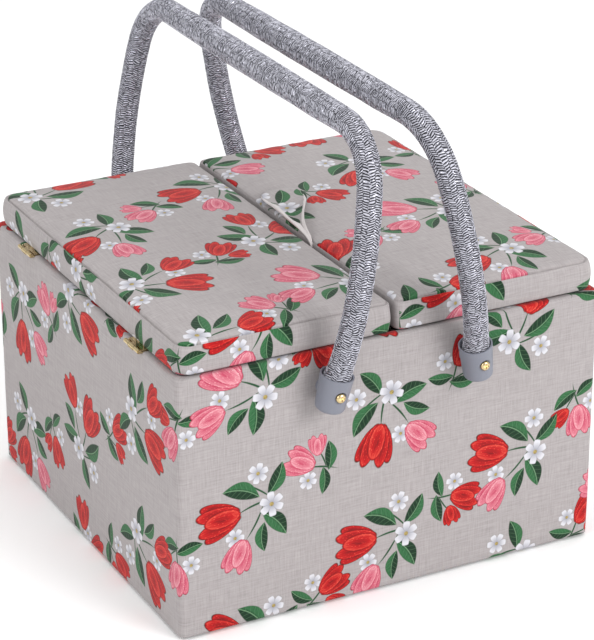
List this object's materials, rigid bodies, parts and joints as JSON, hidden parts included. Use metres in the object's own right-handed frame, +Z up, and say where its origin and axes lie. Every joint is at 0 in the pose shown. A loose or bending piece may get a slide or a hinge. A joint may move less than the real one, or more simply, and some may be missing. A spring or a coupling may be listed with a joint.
{
  "type": "sewing carrier with two lids",
  "caption": "Cloth-covered sewing box with a pair of padded lids opening from the middle, two rope bail handles and a lift-out divided tray.",
  "frame": {"origin": "centre of the base, on the surface that the box stands on", "axes": "+X right along the front, +Y towards the back and along the handles' pivot axes, +Z up"},
  "size_m": [0.307, 0.3548, 0.3233],
  "materials": {
    "printed_cloth": "matt woven cotton-linen print",
    "lining_cloth": "matt plain lining cloth",
    "base_cloth": "matt needled cloth",
    "board": "raw medium density fibreboard",
    "wadding": "soft white wadding",
    "rope_cover": "knitted cover with a metallic thread",
    "cap_plastic": "satin moulded plastic",
    "tray_plastic": "satin moulded polypropylene",
    "brass": "polished brass",
    "steel": "zinc plated steel",
    "cushion_cloth": "matt cotton"
  },
  "bodies": {
    "case": {"case_cover": "printed_cloth", "front_board": "board", "back_board": "board", "left_board": "board", "right_board": "board", "base_board": "board", "base_cloth": "base_cloth", "case_lining": "lining_cloth", "base_lining_pad": "lining_cloth", "left_tray_ledge": "board", "right_tray_ledge": "board", "tray": "tray_plastic", "tray_dividers": "tray_plastic", "handle_screws": "brass", "handle_spacers": "cap_plastic", "handle_backing_washers": "steel", "handle_nuts": "steel", "left_hinge_case_leaves": "brass", "right_hinge_case_leaves": "brass", "left_hinge_pins": "brass", "right_hinge_pins": "brass", "left_hinge_case_screws": "brass", "right_hinge_case_screws": "brass"},
    "left_lid": {"left_lid_panel": "board", "left_lid_frame": "board", "left_lid_wadding": "wadding", "left_lid_cover": "printed_cloth", "left_lid_lining": "lining_cloth", "left_hinge_lid_leaves": "brass", "left_hinge_lid_screws": "brass", "left_lid_pocket": "lining_cloth"},
    "right_lid": {"right_lid_panel": "board", "right_lid_frame": "board", "right_lid_wadding": "wadding", "right_lid_cover": "printed_cloth", "right_lid_lining": "lining_cloth", "right_hinge_lid_leaves": "brass", "right_hinge_lid_screws": "brass", "right_lid_pincushion": "cushion_cloth", "pull_tab": "printed_cloth"},
    "left_handle": {"left_handle_rod": "steel", "left_handle_rope_cover": "rope_cover", "left_handle_front_cap": "cap_plastic", "left_handle_back_cap": "cap_plastic"},
    "right_handle": {"right_handle_rod": "steel", "right_handle_rope_cover": "rope_cover", "right_handle_front_cap": "cap_plastic", "right_handle_back_cap": "cap_plastic"}
  },
  "joints": [
    {"name": "left_lid_hinge", "type": "hinge", "parent": "case", "child": "left_lid", "pos_m": [-0.1518, 0, 0.1782], "axis": [0, -1, 0], "range_deg": [0, 100]},
    {"name": "right_lid_hinge", "type": "hinge", "parent": "case", "child": "right_lid", "pos_m": [0.1518, 0, 0.1782], "axis": [0, 1, 0], "range_deg": [0, 100]},
    {"name": "left_handle_pivot", "type": "hinge", "parent": "case", "child": "left_handle", "pos_m": [-0.051, 0, 0.155], "axis": [0, 1, 0], "range_deg": [-142, 5.5]},
    {"name": "right_handle_pivot", "type": "hinge", "parent": "case", "child": "right_handle", "pos_m": [0.051, 0, 0.155], "axis": [0, -1, 0], "range_deg": [-145, 2.5]}
  ]
}
